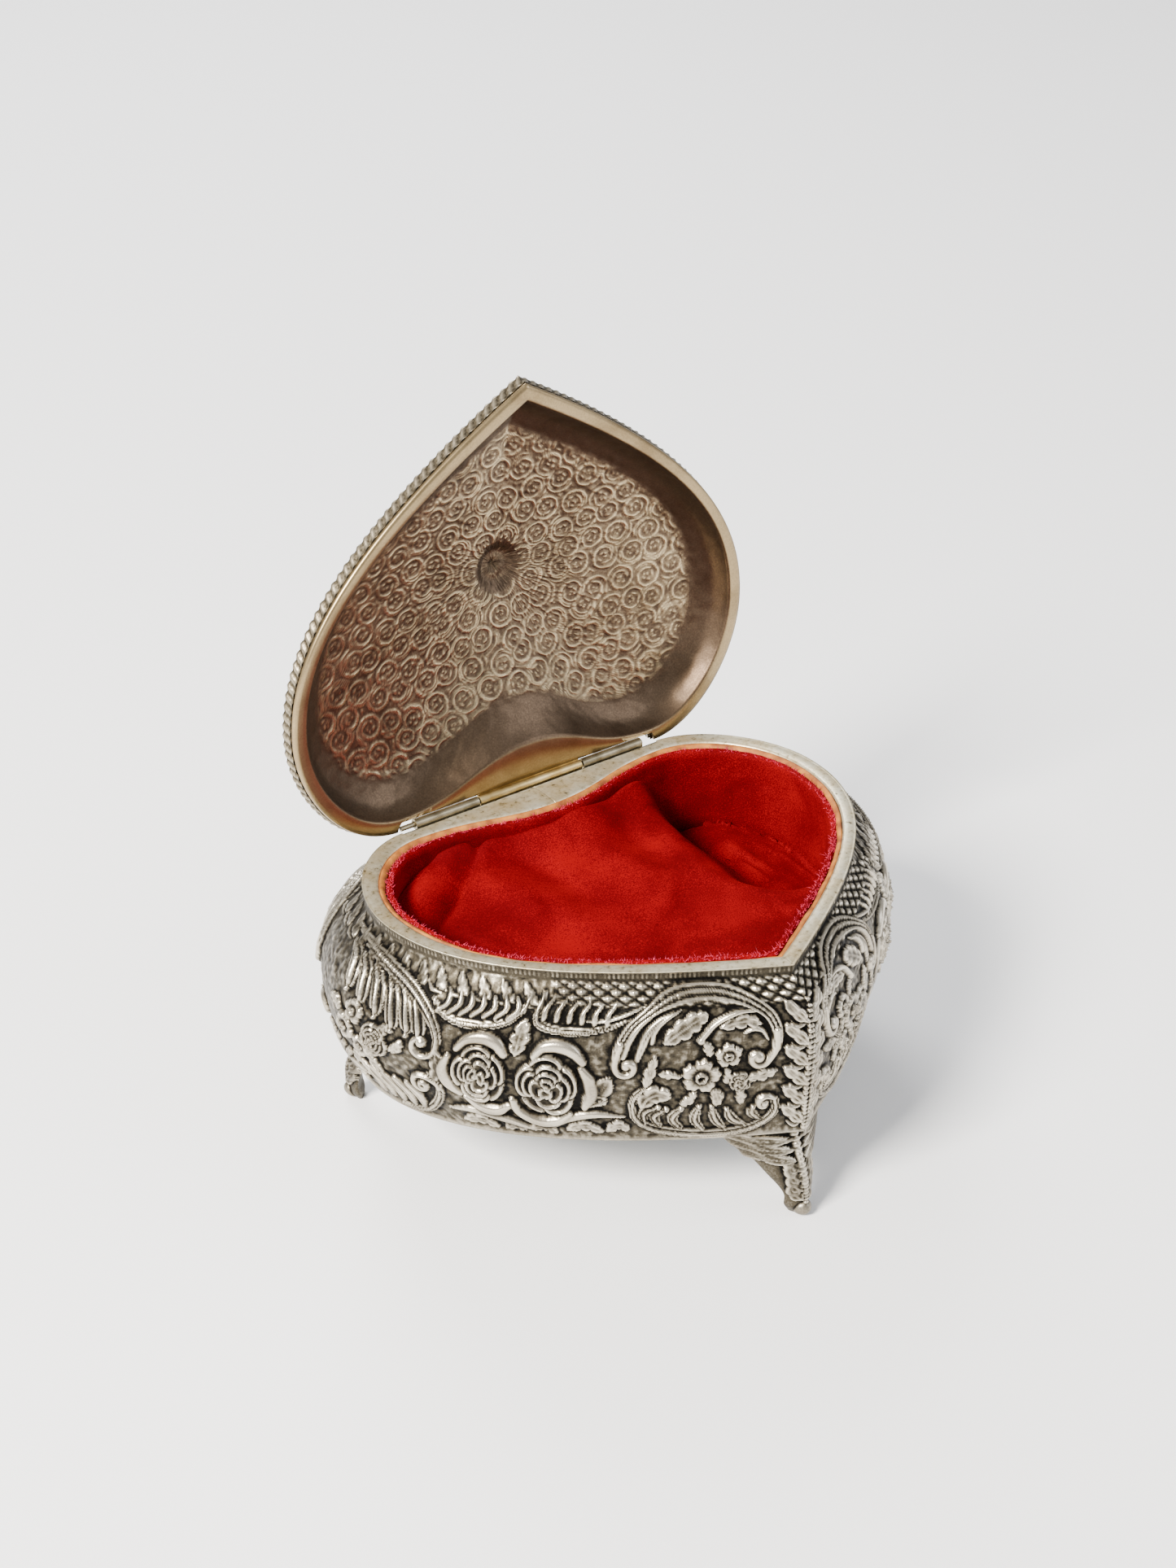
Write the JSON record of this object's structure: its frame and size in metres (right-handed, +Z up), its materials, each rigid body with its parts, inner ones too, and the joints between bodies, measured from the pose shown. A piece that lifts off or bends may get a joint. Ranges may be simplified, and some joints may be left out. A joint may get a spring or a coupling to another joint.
{
  "type": "heart-shaped wind-up music box",
  "caption": "Cast metal casket with a heart plan, bombe sides and three feet, a domed hinged lid, a velvet lining and a wind-up cylinder movement keyed from below.",
  "frame": {"origin": "on the table, under the middle of the whole box with the lid open", "axes": "+Z up, the heart's point towards -Y, the lid's hinge at the back along X"},
  "size_m": [0.114, 0.0972, 0.1322],
  "materials": {
    "casket_silver": "cast white metal, silver plated, antiqued dark in the recesses",
    "lid_silver": "cast white metal, silver plated, antiqued, warm toned inside",
    "velvet": "short pile velvet",
    "card": "plain card with dried glue",
    "hinge_brass": "worn brass",
    "hinge_steel": "bright, slightly worn",
    "zinc": "zinc plated",
    "spring_steel": "blued grey",
    "bright_steel": "nickel plated",
    "screw_steel": "nickel plated",
    "clock_brass": "satin"
  },
  "bodies": {
    "casket": {"casket_body": "casket_silver", "front_foot": "casket_silver", "left_foot": "casket_silver", "right_foot": "casket_silver", "body_hinge_leaf": "hinge_steel", "hinge_pin": "hinge_steel", "wall_card": "card", "wall_velvet": "velvet", "floor_card": "card", "floor_velvet": "velvet", "bottom_plate": "zinc", "plate_screw_1": "screw_steel", "plate_screw_2": "screw_steel", "plate_screw_3": "screw_steel", "movement_screw_1": "screw_steel", "movement_screw_2": "screw_steel", "movement_screw_3": "screw_steel", "bedplate": "zinc", "spring_housing": "zinc", "mainspring": "spring_steel", "drum_bracket": "zinc", "governor_frame": "clock_brass", "comb": "spring_steel", "comb_screw_1": "screw_steel", "comb_screw_2": "screw_steel", "brake_pivot": "bright_steel"},
    "lid": {"lid_shell": "lid_silver", "lid_hinge_leaf": "hinge_brass"},
    "drive": {"winding_arbor": "bright_steel", "great_wheel": "clock_brass", "winding_key": "bright_steel"},
    "drum": {"drum": "clock_brass", "drum_arbor": "bright_steel", "drum_pinion": "clock_brass", "drum_gear": "clock_brass"},
    "governor": {"governor_arbor": "bright_steel", "worm_wheel": "clock_brass"},
    "fan": {"worm": "bright_steel", "fan": "clock_brass"},
    "brake": {"brake_lever": "bright_steel"}
  },
  "joints": [
    {"name": "lid_hinge", "type": "hinge", "parent": "casket", "child": "lid", "pos_m": [0, 0.03616, 0.0513], "axis": [1, 0, 0], "range_deg": [0, 87]},
    {"name": "key_turn", "type": "hinge", "parent": "casket", "child": "drive", "pos_m": [0, 0.00546, 0.0235], "axis": [0, 0, 1], "continuous": true},
    {"name": "drum_turn", "type": "hinge", "parent": "casket", "child": "drum", "pos_m": [-0.02535, 0.00546, 0.0306], "axis": [1, 0, 0], "continuous": true},
    {"name": "governor_turn", "type": "hinge", "parent": "casket", "child": "governor", "pos_m": [-0.0362, -0.00204, 0.0306], "axis": [1, 0, 0], "continuous": true},
    {"name": "fan_turn", "type": "hinge", "parent": "casket", "child": "fan", "pos_m": [-0.0366, -0.00759, 0.0313], "axis": [0, 0, 1], "continuous": true},
    {"name": "brake_swing", "type": "hinge", "parent": "casket", "child": "brake", "pos_m": [-0.024, -0.00674, 0.0233], "axis": [0, 0, 1], "range_deg": [0, 15]}
  ],
  "couplings": [
    {"joint": "drum_turn", "follows": "key_turn", "ratio": 4},
    {"joint": "governor_turn", "follows": "key_turn", "ratio": -16},
    {"joint": "fan_turn", "follows": "key_turn", "ratio": -384}
  ]
}
